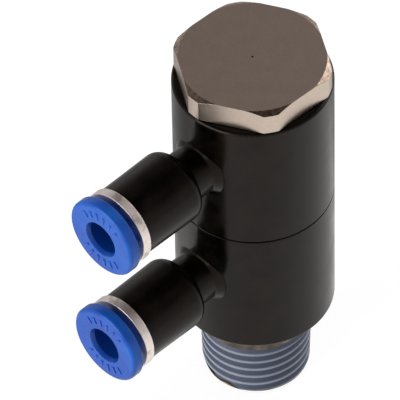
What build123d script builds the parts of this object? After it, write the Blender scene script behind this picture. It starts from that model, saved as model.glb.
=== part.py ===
from build123d import *
import math
import os

# Push-in manifold fitting: two ring bodies stacked on one hollow bolt, each with one port for a 4 mm tube.
# Sizes are in millimetres. The origin is the centre of the thread's end face, +Z runs up to the
# hexagon head, and +X runs out along both ports.

# Tube that the ports take
tube_diameter = 4.0
tube_clearance = 0.1

# Male taper thread, plain neck and air bore of the bolt
thread_gauge_diameter = 13.157
thread_gauge_length = 6.0
thread_taper = 1 / 16
thread_length = 8.0
thread_lead_chamfer = 0.6
thread_pitch = 1.337
thread_first_crest = 0.57
thread_crest_flat = 0.22
thread_root_flat = 0.26
thread_depth = 0.75
thread_runout = 0.3
neck_diameter = 13.4
neck_length = 4.0
air_bore_diameter = 7.0
drill_tip_angle = 118.0

# Sealant coat on the thread
sealant_thickness = 0.06
sealant_fill = 0.2
sealant_bare_crests = 1
sealant_end_gap = 0.15

# Hexagon head of the bolt
hex_across_flats = 17.0
hex_corner_diameter = 18.9
hex_top_chamfer_width = 0.7
hex_height = 3.1
hex_top_chamfer_angle = 30.0
hex_bottom_chamfer = 0.15
hex_turn = -2.3

# Ring bodies
body_diameter = 18.9
body_height = 18.2
body_bore_diameter = 14.0
body_free_rim_round = 0.4
body_seam_rim_round = 0.12
body_bore_round = 0.2
body_end_gap = 0.1
port_offset = 0.75

# Shank of the bolt inside the bodies
shank_clearance = 0.08
shank_lead_chamfer = 0.2
channel_width = 4.0
channel_depth = 1.7
cross_hole_diameter = 3.2
air_bore_run_past = 2.4

# Rubber seal rings in the shank's grooves
seal_bottom_inset = 4.8
seal_top_inset = 3.3
seal_groove_depth = 1.15
seal_groove_width = 1.9
seal_ring_width = 1.5
seal_ring_round = 0.5
seal_rub_clearance = 0.05

# Snap ring and washer that hold the bodies on the shank, in a pocket under the lower body
snap_ring_recess = 0.45
snap_ring_thickness = 1.0
snap_ring_bite = 0.7
snap_ring_stand = 0.8
snap_ring_gap_width = 5.0
snap_ring_play = 0.05
washer_thickness = 0.5
washer_width = 0.9
pocket_wall_clearance = 0.2

# Port boss on each body
boss_length = 11.95
boss_back_diameter = 9.2
boss_mouth_diameter = 9.0
boss_neck_diameter = 6.3
boss_shoulder_lead = 0.5
boss_root_diameter = 7.7
boss_root_round = 0.6
boss_mouth_round = 0.2
boss_neck_lead = 0.2
tube_stop_lead = 0.3
passage_diameter = 3.0

# Cartridge that grips and seals the tube, from the boss's mouth inwards
cartridge_bore_diameter = 7.6
cartridge_clearance = 0.04
cartridge_end_play = 0.05
collar_diameter = 9.45
collar_length = 1.2
collar_round = 0.15
guide_skirt_length = 3.55
guide_pocket_length = 2.05
guide_pocket_diameter = 6.9
claw_thickness = 0.25
claw_rim_width = 0.9
claw_tip_diameter = 3.7
claw_tooth_angle = 32.0
claw_tooth_count = 10
claw_slot_width = 0.4
seat_length = 1.4
seat_cone_depth = 0.95
seal_length = 2.1
tube_seal_lip_diameter = 3.8
tube_seal_heel_diameter = 4.5
tube_seal_chamfer = 0.25
tube_seal_groove_depth = 0.95
tube_seal_leg_width = 0.55
tube_seal_lip_width = 0.45

# Release sleeve
sleeve_flange_diameter = 10.0
sleeve_flange_thickness = 1.5
sleeve_flange_front_round = 0.45
sleeve_flange_back_round = 0.2
sleeve_neck_diameter = 6.0
sleeve_guide_clearance = 0.08
sleeve_mouth_diameter = 4.75
sleeve_mouth_depth = 0.5
sleeve_travel = 0.8
sleeve_stop_gap = 0.1
sleeve_barb_height = 0.3
sleeve_barb_land = 0.2
sleeve_barb_cone = 0.85
sleeve_barb_play = 0.05
sleeve_tip_wall = 0.6
sleeve_slot_width = 0.6
sleeve_slot_length = 3.0
sleeve_slot_count = 4

# Heights of the stacked bodies along the bolt
lower_body_bottom = thread_length + neck_length
lower_body_top = lower_body_bottom + body_height
upper_body_bottom = lower_body_top + body_end_gap
upper_body_top = upper_body_bottom + body_height
head_bottom = upper_body_top + body_end_gap
head_top = head_bottom + hex_height
body_bottoms = {"lower": lower_body_bottom, "upper": upper_body_bottom}
port_heights = {level: bottom + body_height / 2 + port_offset for level, bottom in body_bottoms.items()}

# Crests of the thread, and the height where its sealant ends
thread_crest_count = int((thread_length - thread_first_crest - thread_crest_flat / 2) / thread_pitch) + 1
sealant_end = thread_length - sealant_end_gap

# Radii that follow from the fits
body_bore_radius = body_bore_diameter / 2
shank_radius = body_bore_radius - shank_clearance
air_bore_radius = air_bore_diameter / 2
tube_bore_radius = tube_diameter / 2 + tube_clearance
cartridge_radius = cartridge_bore_diameter / 2 - cartridge_clearance
sleeve_neck_radius = sleeve_neck_diameter / 2
guide_bore_radius = sleeve_neck_radius + sleeve_guide_clearance

# Heights of the snap ring, the washer and their pocket
snap_ring_bottom = lower_body_bottom + snap_ring_recess
washer_bottom = snap_ring_bottom + snap_ring_thickness + snap_ring_play
pocket_top = washer_bottom + washer_thickness + body_end_gap
pocket_radius = body_bore_radius + washer_width + pocket_wall_clearance

# Places of the boss and the cartridge pieces, as distances from the bolt's axis
body_radius = body_diameter / 2
boss_reach = body_radius + boss_length
tube_stop_reach = body_radius + tube_stop_lead
collar_front = boss_reach + collar_length
guide_inner_end = boss_reach - guide_skirt_length
guide_shoulder = guide_inner_end + guide_pocket_length
claw_inner_face = guide_inner_end - claw_thickness
seat_inner_end = claw_inner_face - seat_length
seal_inner_end = seat_inner_end - cartridge_end_play - seal_length
cartridge_floor = seal_inner_end - cartridge_end_play
sleeve_flange_back = collar_front + sleeve_travel + sleeve_stop_gap
sleeve_front = sleeve_flange_back + sleeve_flange_thickness
sleeve_tip = guide_inner_end + sleeve_travel + sleeve_stop_gap


def crest_radius(height):
    """Radius of the taper thread's crests at a height above its end face."""
    gauge_radius = thread_gauge_diameter / 2
    return gauge_radius + (height - thread_gauge_length) * thread_taper / 2


def thread_corners(first_crest, crest_rise=0.0, root_rise=0.0):
    """Corners of the thread's crests, with a root below each crest but the lowest, as (radius, height).

    The rises lift the crests and the roots off the bare thread.
    """
    corners = []
    for index in range(first_crest, thread_crest_count):
        crest = thread_first_crest + index * thread_pitch
        root = crest - thread_pitch / 2
        if index > 0:
            for height in (root - thread_root_flat / 2, root + thread_root_flat / 2):
                corners.append((crest_radius(height) - thread_depth + root_rise, height))
        for height in (crest - thread_crest_flat / 2, crest + thread_crest_flat / 2):
            corners.append((crest_radius(height) + crest_rise, height))
    return corners


def turned(points, rounds=0.0):
    """Solid turned about Z from a closed outline of (radius, height) points with rounded corners."""
    outline = FilletPolyline(*points, radius=rounds, close=True)
    return revolve(Plane.XZ * make_face(outline), Axis.Z)


def ring(inner_radius, outer_radius, bottom, height, rounds=0.0):
    """Plain ring about Z."""
    corners = [
        (inner_radius, bottom),
        (outer_radius, bottom),
        (outer_radius, bottom + height),
        (inner_radius, bottom + height),
    ]
    return turned(corners, rounds)


def at_port(piece, level):
    """Lay a piece that is modelled along Z onto the port axis of one body."""
    return Pos(0, 0, port_heights[level]) * Rot(0, 90, 0) * piece


def hex_head():
    """Hexagon with corners turned round and a chamfer that cuts only those corners."""
    corner_radius = hex_corner_diameter / 2
    face_radius = corner_radius - hex_top_chamfer_width
    chamfer_depth = (corner_radius - face_radius) * math.tan(math.radians(hex_top_chamfer_angle))
    blank = turned(
        [
            (0, head_bottom),
            (corner_radius - hex_bottom_chamfer, head_bottom),
            (corner_radius, head_bottom + hex_bottom_chamfer),
            (corner_radius, head_top - chamfer_depth),
            (face_radius, head_top),
            (0, head_top),
        ]
    )
    hexagon = RegularPolygon(hex_across_flats / 2, 6, major_radius=False, rotation=hex_turn)
    prism = extrude(Plane.XY.offset(head_bottom) * hexagon, hex_height)
    return blank & prism


def air_bore():
    """Blind bore from the thread's end up past the upper cross holes, with a drilled tip."""
    top = port_heights["upper"] + air_bore_run_past
    tip_depth = air_bore_radius / math.tan(math.radians(drill_tip_angle / 2))
    return turned(
        [
            (0, 0),
            (air_bore_radius, 0),
            (air_bore_radius, top),
            (0, top + tip_depth),
        ]
    )


def cross_holes(height):
    """Two holes drilled right through the shank, square to each other."""
    drill = Cylinder(cross_hole_diameter / 2, body_bore_diameter)
    along_x = Pos(0, 0, height) * Rot(0, 90, 0) * drill
    along_y = Pos(0, 0, height) * Rot(90, 0, 0) * drill
    return along_x + along_y


def seal_centres(level):
    """Heights of the two seal rings inside one body, bottom one first."""
    bottom = body_bottoms[level]
    return bottom + seal_bottom_inset, bottom + body_height - seal_top_inset


def shank_groove(depth, centre, width):
    """Ring of material that a groove takes out of the shank."""
    return ring(shank_radius - depth, body_bore_radius, centre - width / 2, width)


def banjo_bolt():
    """Hollow bolt in one piece: taper thread, neck, grooved shank and hexagon head."""
    neck_radius = neck_diameter / 2
    shank_bottom = lower_body_bottom - shank_lead_chamfer
    bolt = turned(
        [
            (0, 0),
            (crest_radius(0) - thread_lead_chamfer, 0),
            (crest_radius(thread_lead_chamfer), thread_lead_chamfer),
            *thread_corners(0)[1:],
            (crest_radius(thread_length), thread_length),
            (neck_radius, thread_length + thread_runout),
            (neck_radius, shank_bottom),
            (shank_radius, shank_bottom + shank_lead_chamfer),
            (shank_radius, head_bottom),
            (0, head_bottom),
        ]
    )
    bolt += hex_head()
    bolt -= air_bore()
    snap_groove_width = snap_ring_thickness + 2 * snap_ring_play
    snap_ring_centre = snap_ring_bottom + snap_ring_thickness / 2
    bolt -= shank_groove(snap_ring_bite, snap_ring_centre, snap_groove_width)
    for level, height in port_heights.items():
        bolt -= shank_groove(channel_depth, height, channel_width)
        bolt -= cross_holes(height)
        for centre in seal_centres(level):
            bolt -= shank_groove(seal_groove_depth, centre, seal_groove_width)
    return bolt


def thread_sealant():
    """Sealant coat that hugs the thread above its bare crests, thin on the crests and thicker in the roots."""
    bare = thread_corners(sealant_bare_crests)[1:]
    coated = thread_corners(sealant_bare_crests, sealant_thickness, sealant_fill)[1:]
    end_radius = crest_radius(sealant_end)
    inner = bare + [(end_radius, sealant_end)]
    outer = coated + [(end_radius + sealant_thickness, sealant_end)]
    return turned(inner + outer[::-1])


def shank_seal(centre):
    """Rubber seal ring squeezed between its groove's floor and the body's bore."""
    inner_radius = shank_radius - seal_groove_depth
    outer_radius = body_bore_radius - seal_rub_clearance
    return ring(inner_radius, outer_radius, centre - seal_ring_width / 2, seal_ring_width, seal_ring_round)


def snap_ring():
    """Open spring ring that sits in the lowest groove of the shank."""
    inner_radius = shank_radius - snap_ring_bite
    outer_radius = shank_radius + snap_ring_stand
    closed = ring(inner_radius, outer_radius, snap_ring_bottom, snap_ring_thickness)
    gap_depth = 2 * (outer_radius - inner_radius)
    gap = Box(gap_depth, snap_ring_gap_width, 2 * snap_ring_thickness)
    return closed - Pos(-inner_radius, 0, snap_ring_bottom) * gap


def support_washer():
    """Flat washer between the snap ring and the lower body."""
    return ring(body_bore_radius, body_bore_radius + washer_width, washer_bottom, washer_thickness)


def body_ring(bottom, low_round, high_round):
    """Plain ring of a body, with its outer rims and bore edges rounded."""
    corners = [
        (body_bore_radius, bottom),
        (body_radius, bottom),
        (body_radius, bottom + body_height),
        (body_bore_radius, bottom + body_height),
    ]
    return turned(corners, [body_bore_round, low_round, high_round, body_bore_round])


def port_boss():
    """Boss along Z: flared root, narrow neck, rounded back shoulder and plain barrel."""
    neck_radius = boss_neck_diameter / 2
    back_radius = boss_back_diameter / 2
    shoulder_round = back_radius - neck_radius
    shoulder = cartridge_floor - boss_shoulder_lead
    root_radius = boss_root_diameter / 2
    root_end = body_radius - boss_root_round
    blend = boss_root_round / 2
    return turned(
        [
            (0, body_bore_radius),
            (root_radius, body_bore_radius),
            (root_radius, root_end),
            (neck_radius, body_radius + boss_neck_lead),
            (neck_radius, shoulder - shoulder_round),
            (back_radius, shoulder - shoulder_round / 2),
            (boss_mouth_diameter / 2, boss_reach),
            (0, boss_reach),
        ],
        [0, 0, 0, blend, blend, shoulder_round, boss_mouth_round, 0],
    )


def port_bores():
    """Everything bored into the boss along Z: air passage, tube bore and cartridge bore."""
    passage_radius = passage_diameter / 2
    return turned(
        [
            (0, 0),
            (passage_radius, 0),
            (passage_radius, tube_stop_reach),
            (tube_bore_radius, tube_stop_reach),
            (tube_bore_radius, cartridge_floor),
            (cartridge_bore_diameter / 2, cartridge_floor),
            (cartridge_bore_diameter / 2, boss_reach),
            (0, boss_reach),
        ]
    )


def ring_body(level):
    """One moulded body. The rim that faces the other body is nearly sharp, the free one is round."""
    rim_rounds = [body_free_rim_round, body_seam_rim_round]
    if level == "upper":
        rim_rounds.reverse()
    moulding = body_ring(body_bottoms[level], *rim_rounds)
    moulding += at_port(port_boss(), level)
    moulding -= at_port(port_bores(), level)
    if level == "lower":
        moulding -= ring(0, pocket_radius, lower_body_bottom, pocket_top - lower_body_bottom)
    return moulding


def guide_ring():
    """Metal ring: visible collar outside the boss, skirt pressed into its bore, pocket for the barbs."""
    pocket_radius_inside = guide_pocket_diameter / 2
    return turned(
        [
            (guide_bore_radius, guide_shoulder),
            (pocket_radius_inside, guide_shoulder),
            (pocket_radius_inside, guide_inner_end),
            (cartridge_radius, guide_inner_end),
            (cartridge_radius, boss_reach),
            (collar_diameter / 2, boss_reach),
            (collar_diameter / 2, collar_front),
            (guide_bore_radius, collar_front),
        ],
        [0, 0, 0, 0, 0, collar_round, collar_round, collar_round],
    )


def lock_claw():
    """Sprung metal ring whose inclined teeth bite into the tube."""
    hinge_radius = cartridge_radius - claw_rim_width
    tip_radius = claw_tip_diameter / 2
    slope = math.tan(math.radians(claw_tooth_angle))
    tip_drop = (hinge_radius - tip_radius) * slope
    claw = turned(
        [
            (cartridge_radius, claw_inner_face),
            (cartridge_radius, guide_inner_end),
            (hinge_radius, guide_inner_end),
            (tip_radius, guide_inner_end - tip_drop),
            (tip_radius, claw_inner_face - tip_drop),
            (hinge_radius, claw_inner_face),
        ]
    )
    slot_length = hinge_radius
    slot_depth = 2 * (claw_thickness + tip_drop)
    slot = Pos(slot_length / 2, 0, guide_inner_end - tip_drop) * Box(slot_length, claw_slot_width, slot_depth)
    for index in range(claw_tooth_count):
        claw -= Rot(0, 0, index * 360 / claw_tooth_count) * slot
    return claw


def claw_seat():
    """Plastic ring that clamps the claw's rim and guides the tube, coned to let the teeth spring."""
    cone_radius = cartridge_radius - claw_rim_width
    return turned(
        [
            (tube_bore_radius, seat_inner_end),
            (cartridge_radius, seat_inner_end),
            (cartridge_radius, claw_inner_face),
            (cone_radius, claw_inner_face),
            (tube_bore_radius, claw_inner_face - seat_cone_depth),
        ]
    )


def tube_seal():
    """Rubber lip seal: outer leg on the bore, inner lip on the tube, open towards the bolt."""
    front = seat_inner_end - cartridge_end_play
    lip_radius = tube_seal_lip_diameter / 2
    heel_radius = tube_seal_heel_diameter / 2
    outer_leg = cartridge_radius - tube_seal_leg_width
    lip_outside = lip_radius + tube_seal_lip_width
    groove_middle = (outer_leg + lip_outside) / 2
    return turned(
        [
            (heel_radius, front),
            (cartridge_radius - tube_seal_chamfer, front),
            (cartridge_radius, front - tube_seal_chamfer),
            (cartridge_radius, seal_inner_end),
            (outer_leg, seal_inner_end),
            (groove_middle, seal_inner_end + tube_seal_groove_depth),
            (lip_outside, seal_inner_end),
            (lip_radius, seal_inner_end),
        ]
    )


def release_sleeve():
    """Push sleeve: flange outside, neck through the guide ring, split tip with snap-in barbs."""
    flange_radius = sleeve_flange_diameter / 2
    barb_radius = sleeve_neck_radius + sleeve_barb_height
    barb_back = guide_shoulder - sleeve_barb_play
    sleeve = turned(
        [
            (tube_bore_radius, sleeve_tip),
            (tube_bore_radius + sleeve_tip_wall, sleeve_tip),
            (barb_radius, barb_back - sleeve_barb_land),
            (barb_radius, barb_back),
            (sleeve_neck_radius, barb_back),
            (sleeve_neck_radius, sleeve_flange_back),
            (flange_radius, sleeve_flange_back),
            (flange_radius, sleeve_front),
            (sleeve_mouth_diameter / 2, sleeve_front),
            (tube_bore_radius, sleeve_front - sleeve_mouth_depth),
        ],
        [0, 0, 0, 0, 0, 0, sleeve_flange_back_round, sleeve_flange_front_round, 0, 0],
    )
    slot = Box(2 * flange_radius, sleeve_slot_width, 2 * sleeve_slot_length)
    for index in range(sleeve_slot_count // 2):
        sleeve -= Pos(0, 0, sleeve_tip) * Rot(0, 0, index * 360 / sleeve_slot_count) * slot
    return sleeve


def save(piece, node):
    """Write one piece as its own file."""
    export_step(piece, f"parts/{node}.step")


def main():
    os.makedirs("parts", exist_ok=True)
    save(banjo_bolt(), "banjo_bolt")
    save(thread_sealant(), "thread_sealant")
    save(snap_ring(), "snap_ring")
    save(support_washer(), "support_washer")
    for level in body_bottoms:
        bottom_seal, top_seal = seal_centres(level)
        save(ring_body(level), f"{level}_body")
        save(shank_seal(bottom_seal), f"{level}_body_seal_bottom")
        save(shank_seal(top_seal), f"{level}_body_seal_top")
        save(at_port(guide_ring(), level), f"{level}_guide_ring")
        save(at_port(lock_claw(), level), f"{level}_lock_claw")
        save(at_port(claw_seat(), level), f"{level}_claw_seat")
        save(at_port(tube_seal(), level), f"{level}_tube_seal")
        save(at_port(release_sleeve(), level), f"{level}_release_sleeve")


main()
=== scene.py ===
import math

import bmesh
import bpy
from bpy.props import FloatProperty, FloatVectorProperty, IntProperty, PointerProperty
from bpy.types import Operator, Panel, PropertyGroup
from mathutils import Matrix, Vector, noise


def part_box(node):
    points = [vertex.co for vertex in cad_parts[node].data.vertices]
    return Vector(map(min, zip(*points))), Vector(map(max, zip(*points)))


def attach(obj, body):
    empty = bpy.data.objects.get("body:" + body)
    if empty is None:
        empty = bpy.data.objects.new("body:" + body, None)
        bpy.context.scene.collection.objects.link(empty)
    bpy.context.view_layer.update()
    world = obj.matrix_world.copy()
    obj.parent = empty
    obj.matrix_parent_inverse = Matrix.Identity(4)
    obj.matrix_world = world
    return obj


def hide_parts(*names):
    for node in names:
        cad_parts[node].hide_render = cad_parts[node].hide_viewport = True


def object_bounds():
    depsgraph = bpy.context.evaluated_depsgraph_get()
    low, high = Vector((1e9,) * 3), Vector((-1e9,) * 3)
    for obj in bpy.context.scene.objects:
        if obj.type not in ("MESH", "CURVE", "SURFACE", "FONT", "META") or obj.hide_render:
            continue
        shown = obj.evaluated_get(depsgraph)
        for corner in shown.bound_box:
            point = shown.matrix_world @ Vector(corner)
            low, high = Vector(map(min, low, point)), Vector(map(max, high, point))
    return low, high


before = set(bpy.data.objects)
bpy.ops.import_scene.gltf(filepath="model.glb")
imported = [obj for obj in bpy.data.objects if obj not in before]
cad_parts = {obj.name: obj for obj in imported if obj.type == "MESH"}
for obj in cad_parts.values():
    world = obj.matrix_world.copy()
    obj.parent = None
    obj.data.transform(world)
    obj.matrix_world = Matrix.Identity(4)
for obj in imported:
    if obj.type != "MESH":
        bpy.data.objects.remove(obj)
CAD_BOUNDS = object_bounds()

bl_info = {
    "name": "Push-in manifold fitting",
    "version": (1, 0, 0),
    "blender": (4, 5, 0),
    "location": "View3D > Sidebar > Fitting",
    "description": "Builds the finish of a stacked push-in fitting round its fixed frame",
    "category": "Object",
}

MM = 0.001
LEVELS = ("lower", "upper")
FULL_TURN = 2 * math.pi
UP = Vector((0, 0, 1))

# Distances below which two points count as one, and two heights as the same
NEAR = 1e-7
TOUCH = 1e-6

# Cuts through the frame's bolt: neck kept below the bodies, shank left to the new head, and overlap of joins
NECK_KEPT = 1.6 * MM
HEAD_JOIN = 0.8 * MM
JOIN = 0.2 * MM

# Light of the studio by the sine of the elevation: the horizon, the ceiling and what lies between.
# Below the dim level, green and blue are turned down to a share of red.
SKY_LEVELS = ((0.0, 0.72), (1.0, 0.04), (0.3, 0.6), (0.6, 0.18), (0.75, 0.19), (0.9, 0.06))
SKY_DIM_LEVEL = 0.3
SKY_DIM_SHARE = 0.88

# Name, heading and elevation in degrees, and power in watts of each lamp
LAMPS = (("left_softbox", -10, 14, 2.7), ("back_softbox", 175, 25, 1.6))
LAMP_DISTANCE = 0.6
LAMP_SIZE = 0.5


class ThreadSettings(PropertyGroup):
    """Sizes of the taper thread and of the sealant coat on it."""

    pitch: FloatProperty(
        name="Pitch", description="Rise of the helix per turn", default=1.337 * MM, unit="LENGTH"
    )
    depth: FloatProperty(
        name="Depth", description="Height of the thread form", default=0.78 * MM, unit="LENGTH"
    )
    gauge_radius: FloatProperty(
        name="Gauge radius", description="Crest radius at the gauge plane", default=6.5785 * MM, unit="LENGTH"
    )
    gauge_length: FloatProperty(
        name="Gauge length", description="Height of the gauge plane", default=6.0 * MM, unit="LENGTH"
    )
    taper: FloatProperty(name="Taper", description="Diameter gained per unit of height", default=1 / 16)
    length: FloatProperty(
        name="Length", description="Height where the thread ends", default=8.0 * MM, unit="LENGTH"
    )
    first_crest: FloatProperty(
        name="First crest", description="Height of a crest on the +X side", default=0.403 * MM, unit="LENGTH"
    )
    runout: FloatProperty(
        name="Run-out", description="Length over which it fades", default=0.7 * MM, unit="LENGTH"
    )
    chamfer: FloatProperty(
        name="Chamfer", description="Lead chamfer at the end", default=0.6 * MM, unit="LENGTH"
    )
    neck_radius: FloatProperty(
        name="Neck", description="Radius of the plain neck", default=6.7 * MM, unit="LENGTH"
    )
    coat_start: FloatProperty(
        name="Coat start", description="Lowest coated height", default=0.95 * MM, unit="LENGTH"
    )
    coat_end: FloatProperty(
        name="Coat end", description="Highest coated height", default=8.0 * MM, unit="LENGTH"
    )
    coat_thickness: FloatProperty(
        name="Coat thickness", description="Thickness of the coat on the crests",
        default=0.035 * MM, unit="LENGTH",
    )
    coat_fill: FloatProperty(
        name="Coat fill", description="Extra thickness of the coat in the roots",
        default=0.22 * MM, unit="LENGTH",
    )
    steps: IntProperty(name="Steps", description="Steps round one turn", default=144)
    rows: IntProperty(name="Rows", description="Rows across one pitch", default=12)


class HeadSettings(PropertyGroup):
    """Sizes of the hexagon head."""

    across_flats: FloatProperty(
        name="Across flats", description="Spanner size", default=17 * MM, unit="LENGTH"
    )
    corner_radius: FloatProperty(
        name="Corner radius", description="Radius that the corners are turned to",
        default=9.35 * MM, unit="LENGTH",
    )
    corner_chamfer: FloatProperty(
        name="Corner chamfer", description="Radial width of the top chamfer", default=0.7 * MM, unit="LENGTH"
    )
    chamfer_angle: FloatProperty(
        name="Chamfer angle", description="Slope of the top chamfer",
        default=math.radians(30), subtype="ANGLE",
    )
    turn: FloatProperty(
        name="Turn", description="Direction of one corner", default=math.radians(-2.3), subtype="ANGLE"
    )
    edge: FloatProperty(
        name="Edge", description="Width of the broken edges", default=0.05 * MM, unit="LENGTH"
    )
    pip_radius: FloatProperty(
        name="Pip radius", description="Radius of the centre pip", default=0.14 * MM, unit="LENGTH"
    )
    pip_depth: FloatProperty(
        name="Pip depth", description="Depth of the centre pip", default=0.35 * MM, unit="LENGTH"
    )
    segments: IntProperty(name="Segments", description="Segments round the head", default=360)


class SleeveSettings(PropertyGroup):
    """Sizes of the plain raised ticks on the sleeves' faces."""

    tick_count: IntProperty(name="Ticks", description="Ticks in each of the two arcs", default=6)
    tick_radius: FloatProperty(
        name="Radius", description="Middle radius of the ticks", default=3.5 * MM, unit="LENGTH"
    )
    tick_length: FloatProperty(
        name="Length", description="Radial length of a tick", default=0.95 * MM, unit="LENGTH"
    )
    tick_width: FloatProperty(name="Width", description="Width of a tick", default=0.32 * MM, unit="LENGTH")
    tick_height: FloatProperty(
        name="Height", description="Height of a tick", default=0.09 * MM, unit="LENGTH"
    )
    tick_step: FloatProperty(
        name="Step", description="Angle between two ticks", default=math.radians(17), subtype="ANGLE"
    )


class FinishSettings(PropertyGroup):
    """Colours of the finishes, as linear values."""

    nickel: FloatVectorProperty(
        name="Nickel", description="Nickel plate", default=(0.64, 0.53, 0.44), size=3, subtype="COLOR"
    )
    bright: FloatVectorProperty(
        name="Bright nickel", description="Guide rings", default=(0.95, 0.85, 0.79), size=3, subtype="COLOR"
    )
    # Painted shade: the turned chamfer is coloured darker to stand in for the dark ceiling that it reflects.
    chamfer: FloatVectorProperty(
        name="Turned chamfer", description="Darker metal of the head's top chamfer",
        default=(0.38, 0.285, 0.225), size=3, subtype="COLOR",
    )
    # Painted shade: the neck and thread below the body are coloured dark to stand in for the body's shadow on
    # them.
    below_body_shade: FloatVectorProperty(
        name="Dull metal", description="Stained metal of the neck and thread",
        default=(0.15, 0.118, 0.092), size=3, subtype="COLOR",
    )
    black: FloatVectorProperty(
        name="Black plastic", description="Ring bodies",
        default=(0.0026, 0.0019, 0.0014), size=3, subtype="COLOR",
    )
    blue: FloatVectorProperty(
        name="Blue plastic", description="Release sleeves",
        default=(0.003, 0.098, 0.60), size=3, subtype="COLOR",
    )
    blue_haze: FloatVectorProperty(
        name="Blue haze", description="Paler patches of the sleeves", default=(0.012, 0.155, 0.72), size=3,
        subtype="COLOR",
    )
    coat: FloatVectorProperty(
        name="Sealant", description="Sealant in the roots",
        default=(0.10, 0.125, 0.19), size=3, subtype="COLOR",
    )
    # Paler sealant colour, used where the thread's crests are.
    coat_crest: FloatVectorProperty(
        name="Sealant crest", description="Sealant rubbed thin on the crests", default=(0.42, 0.45, 0.53),
        size=3, subtype="COLOR",
    )
    rubber: FloatVectorProperty(
        name="Rubber", description="Seals", default=(0.012, 0.012, 0.013), size=3, subtype="COLOR"
    )
    steel: FloatVectorProperty(
        name="Spring steel", description="Claws, snap ring, washer", default=(0.45, 0.45, 0.46), size=3,
        subtype="COLOR",
    )
    natural: FloatVectorProperty(
        name="Natural plastic", description="Claw seats", default=(0.70, 0.69, 0.64), size=3, subtype="COLOR"
    )


class StageSettings(PropertyGroup):
    """Camera, lamps and backdrop."""

    reach: FloatProperty(
        name="Reach", description="Level distance to the camera", default=0.57643, unit="LENGTH"
    )
    height: FloatProperty(name="Height", description="Camera height", default=0.65134, unit="LENGTH")
    heading: FloatProperty(
        name="Heading", description="Turn of the camera about the fitting",
        default=math.radians(135), subtype="ANGLE",
    )
    tilt: FloatProperty(
        name="Tilt", description="How far the camera looks down",
        default=math.radians(47.260), subtype="ANGLE",
    )
    pan: FloatProperty(
        name="Pan", description="Small turn to frame it", default=math.radians(0.6343), subtype="ANGLE"
    )
    roll: FloatProperty(
        name="Roll", description="Roll of the camera", default=math.radians(-1.186), subtype="ANGLE"
    )
    view_angle: FloatProperty(
        name="View angle", description="Angle across the picture",
        default=math.radians(3.1707), subtype="ANGLE",
    )
    floor_size: FloatProperty(name="Floor", description="Half the floor's side", default=1.5, unit="LENGTH")
    floor_grey: FloatProperty(name="Floor grey", description="How pale the floor's paper is", default=0.35)
    floor_glow: FloatProperty(
        name="Floor glow", description="Light that the floor adds to the camera", default=0.86
    )
    floor_lit: FloatProperty(name="Lit floor", description="Floor's light in reflections", default=0.75)
    floor_shaded: FloatProperty(
        name="Shaded floor", description="Floor's light in reflections on the shaded side", default=0.25
    )
    shaded_side: FloatProperty(
        name="Shaded side", description="Direction of the shaded side",
        default=math.radians(245), subtype="ANGLE",
    )
    shade_start: FloatProperty(
        name="Shade start", description="Distance where the shade begins", default=12 * MM, unit="LENGTH"
    )
    shade_end: FloatProperty(
        name="Shade end", description="Distance where the shade is full", default=26 * MM, unit="LENGTH"
    )


def settings():
    return bpy.context.scene.fitting


def new_piece(name, bm, finish):
    """Make an object of a bmesh, with its finish."""
    mesh = bpy.data.meshes.new(name)
    bm.to_mesh(mesh)
    bm.free()
    piece = bpy.data.objects.new(name, mesh)
    bpy.context.scene.collection.objects.link(piece)
    mesh.materials.append(finish)
    return piece


def mark_sharp(bm, angle):
    """Smooth faces with sharp edges where two faces meet at more than the angle."""
    for face in bm.faces:
        face.smooth = True
    for edge in bm.edges:
        edge.smooth = edge.calc_face_angle(0.0) < angle


def boundary_loops(bm):
    """Lists of edges, one for each open rim of the mesh."""
    left = dict.fromkeys(edge for edge in bm.edges if edge.is_boundary)
    loops = []
    while left:
        start = next(iter(left))
        del left[start]
        loop = [start]
        queue = list(start.verts)
        while queue:
            vert = queue.pop()
            for edge in vert.link_edges:
                if edge in left:
                    del left[edge]
                    loop.append(edge)
                    queue.append(edge.other_vert(vert))
        loops.append(loop)
    return loops


def rim_place(loop):
    """Mean radius and height of an open rim."""
    verts = dict.fromkeys(vert for edge in loop for vert in edge.verts)
    radius = sum(vert.co.xy.length for vert in verts) / len(verts)
    height = sum(vert.co.z for vert in verts) / len(verts)
    return radius, height


def pull_rim(bm, loop, place):
    """Extrude a rim and put the new rim where place(angle) says, as radius and height."""
    made = bmesh.ops.extrude_edge_only(bm, edges=loop)["geom"]
    for vert in (item for item in made if isinstance(item, bmesh.types.BMVert)):
        angle = math.atan2(vert.co.y, vert.co.x)
        radius, height = place(angle)
        vert.co = (radius * math.cos(angle), radius * math.sin(angle), height)
    return [item for item in made if isinstance(item, bmesh.types.BMEdge)]


def crest_radius(height):
    """Radius of the taper's crests at a height."""
    thread = settings().thread
    return thread.gauge_radius + (height - thread.gauge_length) * thread.taper / 2


def thread_form(phase):
    """Depth of the thread below its crest, from 0 on the crest to 1 in the root."""
    distance = abs(2 * (phase % 1) - 1)
    steep = min(max(1.3 * (distance - 0.5) + 0.5, 0), 1)
    return 1 - steep * steep * (3 - 2 * steep)


def keep_between(bm, bottom, top, near):
    """Cut a mesh flat at two heights and keep what lies between them."""
    for height, up in ((bottom, -1), (top, 1)):
        bmesh.ops.bisect_plane(
            bm, geom=bm.verts[:] + bm.edges[:] + bm.faces[:], dist=near,
            plane_co=(0, 0, height), plane_no=(0, 0, up), clear_outer=True,
        )


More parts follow.
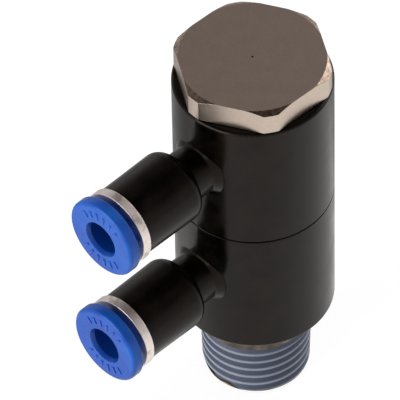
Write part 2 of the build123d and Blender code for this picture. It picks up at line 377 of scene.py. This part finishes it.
def helical_tube(bottom, top, radius_at):
    """Tube whose rows follow the thread's helix, cut flat at both ends.

    radius_at(height, form, angle) gives the radius of each point.
    """
    thread = settings().thread
    bm = bmesh.new()
    form_layer = bm.verts.layers.float.new("form")
    row_height = thread.pitch / thread.rows
    first_row = math.floor(bottom / row_height) - 2 * thread.rows
    last_row = math.ceil(top / row_height) + 2 * thread.rows
    chain = [
        bm.verts.new((thread.gauge_radius, 0, thread.first_crest + row * row_height))
        for row in range(first_row, last_row)
    ]
    for row, vert in enumerate(chain, first_row):
        vert[form_layer] = thread_form(row / thread.rows)
    edges = [bm.edges.new(pair) for pair in zip(chain, chain[1:])]
    bmesh.ops.spin(
        bm, geom=chain + edges, cent=(0, 0, 0), axis=(0, 0, 1), dvec=(0, 0, thread.pitch / thread.steps),
        angle=FULL_TURN, steps=thread.steps, use_merge=False, use_duplicate=False,
    )
    bmesh.ops.remove_doubles(bm, verts=bm.verts, dist=row_height / 20)
    for vert in bm.verts:
        angle = math.atan2(vert.co.y, vert.co.x)
        radius = radius_at(vert.co.z, vert[form_layer], angle)
        vert.co.x = radius * math.cos(angle)
        vert.co.y = radius * math.sin(angle)
    keep_between(bm, bottom, top, row_height / 100)
    return bm


def fade(value, start, end):
    """Smooth step from 0 at start to 1 at end."""
    share = min(max((value - start) / (end - start), 0), 1)
    return share * share * (3 - 2 * share)


def metal_radius(height, form, angle):
    """Radius of the threaded metal."""
    thread = settings().thread
    runout = fade(height, thread.length - thread.runout, thread.length)
    cut = crest_radius(height) - thread.depth * form * (1 - runout)
    radius = cut + (thread.neck_radius - crest_radius(height)) * runout
    return min(radius, crest_radius(0) - thread.chamfer + max(height, 0))


def coat_radius(height, form, angle):
    """Radius of the sealant coat, thicker in the roots and feathered out at its uneven ends."""
    thread = settings().thread
    wander = noise.noise(Vector((math.cos(angle), math.sin(angle), 0)) * 2.3) * thread.pitch * 0.45
    feather = thread.pitch * 0.35
    low = fade(height, thread.coat_start + wander - feather, thread.coat_start + wander)
    high = 1 - fade(height, thread.coat_end - wander / 2, thread.coat_end - wander / 2 + feather)
    grain = noise.noise(Vector((math.cos(angle) * 9, math.sin(angle) * 9, height / thread.pitch * 3)))
    thickness = thread.coat_thickness + thread.coat_fill * form + grain * thread.coat_thickness * 0.5
    cover = low * high
    return metal_radius(height, form, angle) + thickness * cover - thread.coat_thickness * (1 - cover)


def head_side(angle):
    """Radius of the hexagon's side at an angle, with its corners turned round."""
    head = settings().head
    sixth = FULL_TURN / 6
    from_flat = (angle - head.turn) % sixth - sixth / 2
    return min(head.across_flats / 2 / math.cos(from_flat), head.corner_radius)


def is_head_edge(edge, bottom):
    """Whether an edge is one of the head's outer edges, which are slightly broken."""
    head = settings().head
    distances = [vert.co.xy.length for vert in edge.verts]
    outside = min(distances) > head.pip_radius * 3 and max(distances) > head.across_flats / 2 * 0.99
    on_head = min(vert.co.z for vert in edge.verts) > bottom - TOUCH
    return on_head and outside and edge.calc_face_angle(0.0) > math.radians(18)


def add_head(bm, start, bottom, top):
    """Hexagon head on an open rim of the shank: underside, side, top chamfer, face and centre pip."""
    head = settings().head
    face_radius = head.corner_radius - head.corner_chamfer
    slope = math.tan(head.chamfer_angle)
    before = set(bm.faces)
    radius = rim_place(start)[0]
    ring = bmesh.ops.create_circle(bm, cap_ends=False, radius=radius, segments=head.segments)["verts"]
    bmesh.ops.rotate(bm, verts=ring, cent=(0, 0, 0), matrix=Matrix.Rotation(head.turn, 3, "Z"))
    bmesh.ops.translate(bm, verts=ring, vec=(0, 0, bottom))
    rim = list(dict.fromkeys(edge for vert in ring for edge in vert.link_edges))
    bmesh.ops.bridge_loops(bm, edges=start + rim)
    for place in (
        lambda angle: (head_side(angle), bottom),
        lambda angle: (head_side(angle), top - max(head_side(angle) - face_radius, 0) * slope),
        lambda angle: (min(head_side(angle), face_radius), top),
        lambda angle: (head.pip_radius, top),
        lambda angle: (head.pip_radius * 0.8, top - head.pip_depth),
    ):
        rim = pull_rim(bm, rim, place)
    bmesh.ops.edgeloop_fill(bm, edges=rim)
    edges = dict.fromkeys(edge for face in bm.faces if face not in before for edge in face.edges)
    bmesh.ops.dissolve_degenerate(bm, dist=NEAR, edges=list(edges))
    bmesh.ops.bevel(
        bm, geom=[edge for edge in bm.edges if is_head_edge(edge, bottom)], offset=head.edge,
        offset_type="OFFSET", segments=1, profile=0.5, affect="EDGES", material=-1, clamp_overlap=True,
    )


def nearest_rim(bm, radius, height):
    """The open rim whose mean radius and height are nearest to the given ones."""
    def miss(loop):
        rim_radius, rim_height = rim_place(loop)
        return abs(rim_radius - radius) + abs(rim_height - height)
    return min(boundary_loops(bm), key=miss)


def add_threaded_end(bm, shank_end):
    """Threaded end and plain neck below the cut shank, bored through as the shank is."""
    thread = settings().thread
    bore_radius = min(rim_place(loop)[0] for loop in boundary_loops(bm))
    tube = helical_tube(0, thread.length + JOIN, metal_radius)
    mesh = bpy.data.meshes.new("threaded_part")
    tube.to_mesh(mesh)
    tube.free()
    bm.from_mesh(mesh)
    bpy.data.meshes.remove(mesh)
    neck = nearest_rim(bm, thread.neck_radius, thread.length)
    neck = pull_rim(bm, neck, lambda angle: (thread.neck_radius, shank_end - JOIN))
    bmesh.ops.bridge_loops(bm, edges=neck + nearest_rim(bm, thread.neck_radius, shank_end))
    bore = nearest_rim(bm, crest_radius(0) - thread.chamfer, 0)
    bore = pull_rim(bm, bore, lambda angle: (bore_radius, 0))
    bore = pull_rim(bm, bore, lambda angle: (bore_radius, shank_end - JOIN))
    bmesh.ops.bridge_loops(bm, edges=bore + nearest_rim(bm, bore_radius, shank_end))


def mark_head(bm, bottom):
    """Crisp edges on the head, and a mask of its turned chamfer, where the finish paints a darker colour as
    painted shade.
    """
    for edge in bm.edges:
        on_head = min(vert.co.z for vert in edge.verts) > bottom - TOUCH
        if on_head and edge.calc_face_angle(0.0) > math.radians(3):
            edge.smooth = False
    chamfer = bm.faces.layers.float.new("chamfer")
    for face in bm.faces:
        lean = abs(face.normal.angle(UP) - settings().head.chamfer_angle)
        face[chamfer] = float(lean < math.radians(4) and face.calc_center_median().z > bottom)


def turned_bolt():
    """The hollow bolt: frame's grooved shank, with a cut thread below and a crisp hexagon head above."""
    lower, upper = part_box("lower_body"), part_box("upper_body")
    running_gap = upper[0].z - lower[1].z
    head_bottom = upper[1].z + running_gap
    low_cut = lower[0].z - NECK_KEPT
    high_cut = head_bottom - HEAD_JOIN
    bm = bmesh.new()
    bm.from_mesh(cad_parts["banjo_bolt"].data)
    bmesh.ops.remove_doubles(bm, verts=bm.verts, dist=TOUCH)
    keep_between(bm, low_cut, high_cut, NEAR)
    add_threaded_end(bm, low_cut)
    shank_rim = nearest_rim(bm, settings().thread.neck_radius, high_cut)
    add_head(bm, shank_rim, head_bottom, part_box("banjo_bolt")[1].z)
    bmesh.ops.recalc_face_normals(bm, faces=bm.faces)
    mark_sharp(bm, math.radians(32))
    mark_head(bm, head_bottom)
    piece = new_piece("turned_bolt", bm, nickel_finish())
    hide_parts("banjo_bolt")
    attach(piece, "bolt")


def sealant_coat():
    """The dried coat on the thread, as a thin closed shell."""
    thread = settings().thread
    bottom = thread.coat_start - thread.pitch * 0.6
    top = thread.coat_end + thread.pitch * 0.5
    bm = helical_tube(bottom, top, coat_radius)
    bmesh.ops.recalc_face_normals(bm, faces=bm.faces)
    bmesh.ops.solidify(bm, geom=bm.faces[:], thickness=thread.coat_thickness * 2)
    mark_sharp(bm, math.radians(60))
    piece = new_piece("sealant_coat", bm, sealant_finish())
    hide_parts("thread_sealant")
    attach(piece, "bolt")


def sleeve_ticks(level):
    """Two arcs of plain raised ticks on one sleeve's face."""
    sleeve = settings().sleeve
    low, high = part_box(f"{level}_release_sleeve")
    centre = Vector((high.x, (low.y + high.y) / 2, (low.z + high.z) / 2))
    size = (sleeve.tick_height * 2, sleeve.tick_width, sleeve.tick_length)
    bm = bmesh.new()
    for arc in (0, math.pi):
        for index in range(sleeve.tick_count):
            angle = arc + (index - (sleeve.tick_count - 1) / 2) * sleeve.tick_step
            tick = bmesh.ops.create_cube(bm, size=1)["verts"]
            bmesh.ops.scale(bm, verts=tick, vec=size)
            bmesh.ops.translate(bm, verts=tick, vec=(0, 0, sleeve.tick_radius))
            bmesh.ops.rotate(bm, verts=tick, cent=(0, 0, 0), matrix=Matrix.Rotation(angle, 3, "X"))
    bmesh.ops.translate(bm, verts=bm.verts, vec=centre)
    bmesh.ops.bevel(
        bm, geom=bm.edges[:], offset=sleeve.tick_height * 0.45, offset_type="OFFSET", segments=2, profile=0.5,
        affect="EDGES", material=-1, clamp_overlap=True,
    )
    mark_sharp(bm, math.radians(40))
    piece = new_piece(f"{level}_sleeve_ticks", bm, blue_finish())
    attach(piece, f"{level}_sleeve")


def node_group(name, inputs, outputs):
    """Empty shader node group with float sockets, and a Vector input in front."""
    group = bpy.data.node_groups.new(name, "ShaderNodeTree")
    group.interface.new_socket("Vector", in_out="INPUT", socket_type="NodeSocketVector")
    for label, default in inputs:
        socket = group.interface.new_socket(label, in_out="INPUT", socket_type="NodeSocketFloat")
        socket.default_value = default
    for label in outputs:
        group.interface.new_socket(label, in_out="OUTPUT", socket_type="NodeSocketFloat")
    return group, group.nodes.new("NodeGroupInput"), group.nodes.new("NodeGroupOutput")


def grain_group():
    """Fine even grain, as a height and as a soft mask of larger blotches."""
    name = "Fine grain"
    if name in bpy.data.node_groups:
        return bpy.data.node_groups[name]
    scales = (("Grain scale", 4000.0), ("Blotch scale", 250.0))
    group, given, result = node_group(name, scales, ("Height", "Blotch"))
    fine = group.nodes.new("ShaderNodeTexNoise")
    fine.inputs["Detail"].default_value = 3.0
    broad = group.nodes.new("ShaderNodeTexNoise")
    broad.inputs["Detail"].default_value = 4.0
    group.links.new(given.outputs["Vector"], fine.inputs["Vector"])
    group.links.new(given.outputs["Grain scale"], fine.inputs["Scale"])
    group.links.new(given.outputs["Vector"], broad.inputs["Vector"])
    group.links.new(given.outputs["Blotch scale"], broad.inputs["Scale"])
    group.links.new(fine.outputs["Fac"], result.inputs["Height"])
    group.links.new(broad.outputs["Fac"], result.inputs["Blotch"])
    return group


def turning_group():
    """Fine lines left by the lathe about Z: rings on end faces and bands on round faces."""
    name = "Turning lines"
    if name in bpy.data.node_groups:
        return bpy.data.node_groups[name]
    group, given, result = node_group(name, (("Line scale", 2500.0),), ("Height",))
    total = group.nodes.new("ShaderNodeMath")
    total.operation = "ADD"
    for index, kind in enumerate(("RINGS", "BANDS")):
        wave = group.nodes.new("ShaderNodeTexWave")
        wave.wave_type = kind
        wave.bands_direction = "Z"
        wave.rings_direction = "Z"
        wave.inputs["Distortion"].default_value = 1.5
        wave.inputs["Detail"].default_value = 2.0
        group.links.new(given.outputs["Vector"], wave.inputs["Vector"])
        group.links.new(given.outputs["Line scale"], wave.inputs["Scale"])
        group.links.new(wave.outputs["Fac"], total.inputs[index])
    group.links.new(total.outputs[0], result.inputs["Height"])
    return group


class Finish:
    """A material with its Principled BSDF, and short ways to wire shared effects into it."""

    def __init__(self, name, roughness, metallic=0.0):
        self.material = bpy.data.materials.new(name)
        self.material.use_nodes = True
        self.nodes = self.material.node_tree.nodes
        self.links = self.material.node_tree.links
        self.shader = self.nodes["Principled BSDF"]
        self.shader.inputs["Roughness"].default_value = roughness
        self.shader.inputs["Metallic"].default_value = metallic
        self.place = self.nodes.new("ShaderNodeTexCoord").outputs["Object"]

    def turned_to(self, axis_turn):
        """Turn the pattern's own Z onto another axis."""
        mapping = self.nodes.new("ShaderNodeMapping")
        mapping.inputs["Rotation"].default_value = axis_turn
        self.links.new(self.place, mapping.inputs["Vector"])
        return mapping.outputs["Vector"]

    def shared(self, group, place=None, **values):
        """Place a shared group in the material with its own values."""
        node = self.nodes.new("ShaderNodeGroup")
        node.node_tree = group
        self.links.new(place or self.place, node.inputs["Vector"])
        for label, value in values.items():
            node.inputs[label.replace("_", " ").capitalize()].default_value = value
        return node

    def spread(self, value, low, high, start=0.35, end=0.65):
        """Map a mask onto a range of values."""
        node = self.nodes.new("ShaderNodeMapRange")
        node.inputs["From Min"].default_value = start
        node.inputs["From Max"].default_value = end
        node.inputs["To Min"].default_value = low
        node.inputs["To Max"].default_value = high
        self.links.new(value, node.inputs["Value"])
        return node.outputs["Result"]

    def tint(self, mask, first, second):
        """Mix two colours by a mask. Each is given as a value or as a socket."""
        node = self.nodes.new("ShaderNodeMix")
        node.data_type = "RGBA"
        for label, colour in (("A", first), ("B", second)):
            if isinstance(colour, bpy.types.NodeSocket):
                self.links.new(colour, node.inputs[label])
            else:
                node.inputs[label].default_value = (*colour, 1)
        self.links.new(mask, node.inputs["Factor"])
        return node.outputs["Result"]

    def along(self, axis):
        """One of the piece's own coordinates."""
        node = self.nodes.new("ShaderNodeSeparateXYZ")
        self.links.new(self.place, node.inputs[0])
        return node.outputs[axis]

    def step(self, operation, value, amount=0.0):
        """One step of arithmetic on a socket."""
        node = self.nodes.new("ShaderNodeMath")
        node.operation = operation
        self.links.new(value, node.inputs[0])
        node.inputs[1].default_value = amount
        return node.outputs[0]

    def from_ports(self, start, end):
        """Mask that grows from 0 to 1 with the distance from the axis of the nearer port."""
        low, high = (sum(corner.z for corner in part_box(f"{level}_release_sleeve")) / 2 for level in LEVELS)
        from_middle = self.step("ABSOLUTE", self.step("SUBTRACT", self.along("Z"), (low + high) / 2))
        off_axis = self.nodes.new("ShaderNodeCombineXYZ")
        self.links.new(self.along("Y"), off_axis.inputs["Y"])
        self.links.new(self.step("SUBTRACT", from_middle, (high - low) / 2), off_axis.inputs["Z"])
        distance = self.nodes.new("ShaderNodeVectorMath")
        distance.operation = "LENGTH"
        self.links.new(off_axis.outputs[0], distance.inputs[0])
        return self.spread(distance.outputs["Value"], 0, 1, start, end)

    def attribute(self, name):
        """Mask that the mesh carries."""
        node = self.nodes.new("ShaderNodeAttribute")
        node.attribute_name = name
        return node.outputs["Fac"]

    def colour(self, socket):
        self.links.new(socket, self.shader.inputs["Base Color"])

    def roughness(self, socket):
        self.links.new(socket, self.shader.inputs["Roughness"])

    def bumps(self, layers):
        """Stack bumps, each given as a height socket and its real depth in metres."""
        normal = None
        for height, depth in layers:
            bump = self.nodes.new("ShaderNodeBump")
            bump.inputs["Strength"].default_value = 1.0
            bump.inputs["Distance"].default_value = depth
            self.links.new(height, bump.inputs["Height"])
            if normal:
                self.links.new(normal, bump.inputs["Normal"])
            normal = bump.outputs["Normal"]
        self.links.new(normal, self.shader.inputs["Normal"])


def shade(colour, share):
    """A darker or lighter copy of a colour."""
    return tuple(channel * share for channel in colour)


def nickel_finish():
    """Satin nickel plate of the bolt: fine specks, painted shade on the turned chamfer, and painted shade on
    the neck and thread below the body, with blotchy brown streaks.
    """
    chosen = settings().finish
    finish = Finish("satin_nickel", 0.32, 1.0)
    lines = finish.shared(turning_group(), line_scale=900.0)
    grain = finish.shared(grain_group(), grain_scale=2400.0, blotch_scale=600.0)
    blotch = grain.outputs["Blotch"]
    speck = finish.spread(grain.outputs["Height"], 0, 1)
    plate = finish.tint(speck, shade(chosen.nickel, 0.94), chosen.nickel)
    # Painted shade: the chamfer's darker colour, varied by the specks, stands in for the dark ceiling that it
    # reflects.
    turned = finish.tint(speck, shade(chosen.chamfer, 0.55), shade(chosen.chamfer, 1.3))
    # Painted shade: the metal below the body is coloured dark to stand in for the body's shadow, with blotchy
    # brown streaks on top.
    shade_and_streaks = finish.tint(finish.spread(blotch, 0, 1), shade(chosen.below_body_shade, 0.6), shade(chosen.below_body_shade, 1.45))
    plate = finish.tint(finish.attribute("chamfer"), plate, turned)
    neck_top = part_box("lower_body")[0].z
    above_neck = finish.spread(finish.along("Z"), 0, 1, neck_top - 0.1 * MM, neck_top + 0.1 * MM)
    finish.colour(finish.tint(above_neck, shade_and_streaks, plate))
    finish.roughness(finish.spread(blotch, 0.27, 0.33, 0.2, 0.8))
    finish.bumps([(lines.outputs["Height"], 0.0000002), (grain.outputs["Height"], 0.0000005)])
    return finish.material


def collar_finish():
    """Brighter nickel plate of the guide rings, turned about the ports' axis."""
    colour = settings().finish.bright
    finish = Finish("bright_nickel", 0.3, 1.0)
    along_port = finish.turned_to((0, math.radians(90), 0))
    lines = finish.shared(turning_group(), along_port, line_scale=2600.0)
    grain = finish.shared(grain_group(), grain_scale=6000.0, blotch_scale=700.0)
    clean = finish.spread(grain.outputs["Blotch"], 0, 1, 0.36, 0.46)
    finish.colour(finish.tint(clean, shade(colour, 0.72), colour))
    finish.roughness(finish.spread(grain.outputs["Blotch"], 0.4, 0.5))
    finish.bumps([(lines.outputs["Height"], 0.0000008), (grain.outputs["Height"], 0.000002)])
    return finish.material


def black_finish():
    """Satin glass-filled plastic: fine moulded grain, dark specks and soft mottling."""
    colour = settings().finish.black
    finish = Finish("black_moulding", 0.4)
    finish.shader.inputs["Specular IOR Level"].default_value = 0.21
    finish.shader.inputs["Specular Tint"].default_value = (1.0, 0.85, 0.77, 1)
    grain = finish.shared(grain_group(), grain_scale=2600.0, blotch_scale=420.0)
    mottle = finish.tint(finish.spread(grain.outputs["Blotch"], 0, 1), shade(colour, 0.4), shade(colour, 2.8))
    speck = finish.spread(grain.outputs["Height"], 0, 1, 0.3, 0.45)
    finish.colour(finish.tint(speck, shade(colour, 0.4), mottle))
    finish.roughness(finish.spread(grain.outputs["Blotch"], 0.17, 0.27))
    finish.bumps([(grain.outputs["Height"], 0.000006)])
    return finish.material


def blue_finish():
    """Smooth blue plastic of the release sleeves: paler patches, and painted shade that darkens it inside the
    bore.
    """
    colour = settings().finish.blue
    name = "blue_moulding"
    if name in bpy.data.materials:
        return bpy.data.materials[name]
    finish = Finish(name, 0.3)
    finish.shader.inputs["Specular IOR Level"].default_value = 0.4
    grain = finish.shared(grain_group(), grain_scale=3500.0, blotch_scale=260.0)
    haze = finish.spread(grain.outputs["Blotch"], 0, 1, 0.4, 0.62)
    outside = finish.tint(haze, colour, settings().finish.blue_haze)
    # Painted shade: the sleeve is coloured darker inside the bore, where less light reaches.
    finish.colour(finish.tint(finish.from_ports(2.15 * MM, 2.45 * MM), shade(colour, 0.6), outside))
    finish.roughness(finish.spread(grain.outputs["Blotch"], 0.26, 0.36))
    finish.bumps([(grain.outputs["Height"], 0.000003)])
    return finish.material


def sealant_finish():
    """Dried sealant: matt, dark in the roots and pale on the crests, following the thread's form."""
    chosen = settings().finish
    finish = Finish("dried_sealant", 0.6)
    grain = finish.shared(grain_group(), grain_scale=3000.0, blotch_scale=700.0)
    # The colour follows the thread's form: dark in the roots, pale on the crests.
    toward_crest = finish.spread(finish.attribute("form"), 1, 0, 0.03, 0.22)
    finish.colour(finish.tint(toward_crest, chosen.coat, chosen.coat_crest))
    finish.roughness(finish.spread(grain.outputs["Blotch"], 0.45, 0.7))
    finish.bumps([(grain.outputs["Height"], 0.00001)])
    return finish.material


def plain_finish(name, colour, roughness, metallic=0.0):
    """Finish of an inner piece: its colour with fine grain and slight blotches."""
    finish = Finish(name, roughness, metallic)
    grain = finish.shared(grain_group(), grain_scale=5000.0, blotch_scale=300.0)
    finish.colour(finish.tint(finish.spread(grain.outputs["Blotch"], 0, 1), shade(colour, 0.85), colour))
    finish.roughness(finish.spread(grain.outputs["Blotch"], roughness * 0.85, roughness * 1.15))
    finish.bumps([(grain.outputs["Height"], 0.000003)])
    return finish.material


def dress(finish, *nodes):
    """Give carried-over nodes their finish."""
    for node in nodes:
        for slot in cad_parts[node].material_slots:
            slot.material = finish


def backdrop_finish():
    """White to the camera, keeps soft shadows, and shows pale in reflections, darker on one side."""
    stage = settings().stage
    material = bpy.data.materials.new("backdrop_white")
    material.use_nodes = True
    nodes = material.node_tree.nodes
    links = material.node_tree.links
    nodes.remove(nodes["Principled BSDF"])
    paper = nodes.new("ShaderNodeBsdfDiffuse")
    paper.inputs["Color"].default_value = (stage.floor_grey, stage.floor_grey, stage.floor_grey, 1)
    glow = nodes.new("ShaderNodeEmission")
    path = nodes.new("ShaderNodeLightPath")
    camera_part = nodes.new("ShaderNodeMath")
    camera_part.operation = "MULTIPLY"
    camera_part.inputs[1].default_value = stage.floor_glow
    glossy_part = nodes.new("ShaderNodeMath")
    glossy_part.operation = "MULTIPLY"
    place = nodes.new("ShaderNodeVectorMath")
    place.operation = "DOT_PRODUCT"
    place.inputs[1].default_value = (math.cos(stage.shaded_side), math.sin(stage.shaded_side), 0)
    links.new(nodes.new("ShaderNodeTexCoord").outputs["Object"], place.inputs[0])
    shaded = nodes.new("ShaderNodeMapRange")
    shaded.interpolation_type = "SMOOTHSTEP"
    shaded.inputs["From Min"].default_value = stage.shade_start
    shaded.inputs["From Max"].default_value = stage.shade_end
    shaded.inputs["To Min"].default_value = stage.floor_lit
    shaded.inputs["To Max"].default_value = stage.floor_shaded
    links.new(place.outputs["Value"], shaded.inputs["Value"])
    links.new(shaded.outputs["Result"], glossy_part.inputs[1])
    strength = nodes.new("ShaderNodeMath")
    strength.operation = "ADD"
    both = nodes.new("ShaderNodeAddShader")
    links.new(path.outputs["Is Camera Ray"], camera_part.inputs[0])
    links.new(path.outputs["Is Glossy Ray"], glossy_part.inputs[0])
    links.new(camera_part.outputs[0], strength.inputs[0])
    links.new(glossy_part.outputs[0], strength.inputs[1])
    links.new(strength.outputs[0], glow.inputs["Strength"])
    links.new(paper.outputs[0], both.inputs[0])
    links.new(glow.outputs[0], both.inputs[1])
    links.new(both.outputs[0], nodes["Material Output"].inputs["Surface"])
    return material


def add_floor():
    """Level floor under the fitting, which is also the backdrop."""
    bm = bmesh.new()
    bmesh.ops.create_grid(bm, x_segments=4, y_segments=4, size=settings().stage.floor_size)
    floor = new_piece("floor", bm, backdrop_finish())


def add_lamp(name, heading, elevation, power):
    """Square soft lamp that faces the middle of the fitting."""
    middle = (CAD_BOUNDS[0] + CAD_BOUNDS[1]) / 2
    level = math.cos(elevation)
    direction = Vector((math.cos(heading) * level, math.sin(heading) * level, math.sin(elevation)))
    lamp = bpy.data.lights.new(name, "AREA")
    lamp.size = LAMP_SIZE
    lamp.energy = power
    holder = bpy.data.objects.new(name, lamp)
    holder.location = middle + direction * LAMP_DISTANCE
    holder.rotation_euler = direction.to_track_quat("Z", "Y").to_euler()
    bpy.context.scene.collection.objects.link(holder)


def add_world():
    """White behind the object, and a studio whose light falls off from the horizon to a dim ceiling."""
    world = bpy.data.worlds.new("studio")
    world.use_nodes = True
    bpy.context.scene.world = world
    nodes = world.node_tree.nodes
    links = world.node_tree.links
    background = nodes["Background"]
    direction = nodes.new("ShaderNodeSeparateXYZ")
    links.new(nodes.new("ShaderNodeTexCoord").outputs["Generated"], direction.inputs[0])
    sky = nodes.new("ShaderNodeValToRGB")
    for index, (place, level) in enumerate(SKY_LEVELS):
        stop = sky.color_ramp.elements[index] if index < 2 else sky.color_ramp.elements.new(place)
        stop.position = place
        cool = level * (SKY_DIM_SHARE if level < SKY_DIM_LEVEL else 1)
        stop.color = (level, cool, cool, 1)
    links.new(direction.outputs["Z"], sky.inputs["Fac"])
    path = nodes.new("ShaderNodeLightPath")
    reach = nodes.new("ShaderNodeMix")
    reach.data_type = "RGBA"
    reach.inputs["B"].default_value = (1, 1, 1, 1)
    links.new(path.outputs["Is Camera Ray"], reach.inputs["Factor"])
    links.new(sky.outputs["Color"], reach.inputs["A"])
    links.new(reach.outputs["Result"], background.inputs["Color"])


def add_camera():
    """Camera at the photograph's viewing angle."""
    stage = settings().stage
    data = bpy.data.cameras.new("camera")
    data.angle = stage.view_angle
    data.clip_start = 0.05
    data.clip_end = 10
    camera = bpy.data.objects.new("camera", data)
    place = Vector((math.sin(stage.heading), -math.cos(stage.heading), 0)) * stage.reach
    place.z = stage.height
    turn = Matrix.Rotation(stage.heading + stage.pan, 4, "Z")
    lean = Matrix.Rotation(math.pi / 2 - stage.tilt, 4, "X")
    camera.matrix_world = Matrix.Translation(place) @ turn @ lean @ Matrix.Rotation(stage.roll, 4, "Z")
    bpy.context.scene.collection.objects.link(camera)
    bpy.context.scene.camera = camera


class FITTING_OT_turned_bolt(Operator):
    """Replace the frame's bolt with one that has a cut thread and a crisp head"""

    bl_idname = "fitting.turned_bolt"
    bl_label = "Turned bolt"

    def execute(self, context):
        turned_bolt()
        return {"FINISHED"}


class FITTING_OT_sealant_coat(Operator):
    """Put the dried sealant coat on the thread"""

    bl_idname = "fitting.sealant_coat"
    bl_label = "Sealant coat"

    def execute(self, context):
        sealant_coat()
        return {"FINISHED"}


class FITTING_OT_ring_bodies(Operator):
    """Finish the two moulded ring bodies"""

    bl_idname = "fitting.ring_bodies"
    bl_label = "Ring bodies"

    def execute(self, context):
        dress(black_finish(), *(f"{level}_body" for level in LEVELS))
        return {"FINISHED"}


class FITTING_OT_guide_rings(Operator):
    """Finish the plated guide rings"""

    bl_idname = "fitting.guide_rings"
    bl_label = "Guide rings"

    def execute(self, context):
        dress(collar_finish(), *(f"{level}_guide_ring" for level in LEVELS))
        return {"FINISHED"}


class FITTING_OT_release_sleeves(Operator):
    """Finish the release sleeves and raise the ticks on their faces"""

    bl_idname = "fitting.release_sleeves"
    bl_label = "Release sleeves"

    def execute(self, context):
        dress(blue_finish(), *(f"{level}_release_sleeve" for level in LEVELS))
        for level in LEVELS:
            sleeve_ticks(level)
        return {"FINISHED"}


class FITTING_OT_inner_pieces(Operator):
    """Finish the seals, claws, seats, snap ring and washer"""

    bl_idname = "fitting.inner_pieces"
    bl_label = "Inner pieces"

    def execute(self, context):
        chosen = settings().finish
        rubber = plain_finish("seal_rubber", chosen.rubber, 0.55)
        steel = plain_finish("spring_steel", chosen.steel, 0.3, 1.0)
        natural = plain_finish("natural_plastic", chosen.natural, 0.45)
        for level in LEVELS:
            dress(rubber, f"{level}_body_seal_bottom", f"{level}_body_seal_top", f"{level}_tube_seal")
            dress(steel, f"{level}_lock_claw")
            dress(natural, f"{level}_claw_seat")
        dress(steel, "snap_ring", "support_washer")
        return {"FINISHED"}


class FITTING_OT_stage(Operator):
    """Set up the camera, the lamps, the floor and the backdrop"""

    bl_idname = "fitting.stage"
    bl_label = "Stage"

    def execute(self, context):
        context.scene.view_settings.view_transform = "Standard"
        add_camera()
        add_world()
        add_floor()
        for name, heading, elevation, power in LAMPS:
            add_lamp(name, math.radians(heading), math.radians(elevation), power)
        return {"FINISHED"}


class FITTING_PT_panel(Panel):
    """Lists the steps that build the fitting"""

    bl_idname = "FITTING_PT_panel"
    bl_label = "Fitting"
    bl_space_type = "VIEW_3D"
    bl_region_type = "UI"
    bl_category = "Fitting"

    def draw(self, context):
        for step in STEPS:
            self.layout.operator(step.bl_idname)


class FittingSettings(PropertyGroup):
    """All sizes and colours of the fitting's look."""

    thread: PointerProperty(type=ThreadSettings)
    head: PointerProperty(type=HeadSettings)
    sleeve: PointerProperty(type=SleeveSettings)
    finish: PointerProperty(type=FinishSettings)
    stage: PointerProperty(type=StageSettings)


STEPS = (
    FITTING_OT_turned_bolt,
    FITTING_OT_sealant_coat,
    FITTING_OT_ring_bodies,
    FITTING_OT_guide_rings,
    FITTING_OT_release_sleeves,
    FITTING_OT_inner_pieces,
    FITTING_OT_stage,
)
CLASSES = (
    ThreadSettings, HeadSettings, SleeveSettings, FinishSettings, StageSettings, FittingSettings,
    *STEPS, FITTING_PT_panel,
)


def register():
    for each in CLASSES:
        bpy.utils.register_class(each)
    bpy.types.Scene.fitting = PointerProperty(type=FittingSettings)


def unregister():
    del bpy.types.Scene.fitting
    for each in reversed(CLASSES):
        bpy.utils.unregister_class(each)


def main():
    register()
    bpy.ops.fitting.turned_bolt()
    bpy.ops.fitting.sealant_coat()
    bpy.ops.fitting.ring_bodies()
    bpy.ops.fitting.guide_rings()
    bpy.ops.fitting.release_sleeves()
    bpy.ops.fitting.inner_pieces()
    bpy.ops.fitting.stage()


if __name__ == "__main__":
    main()
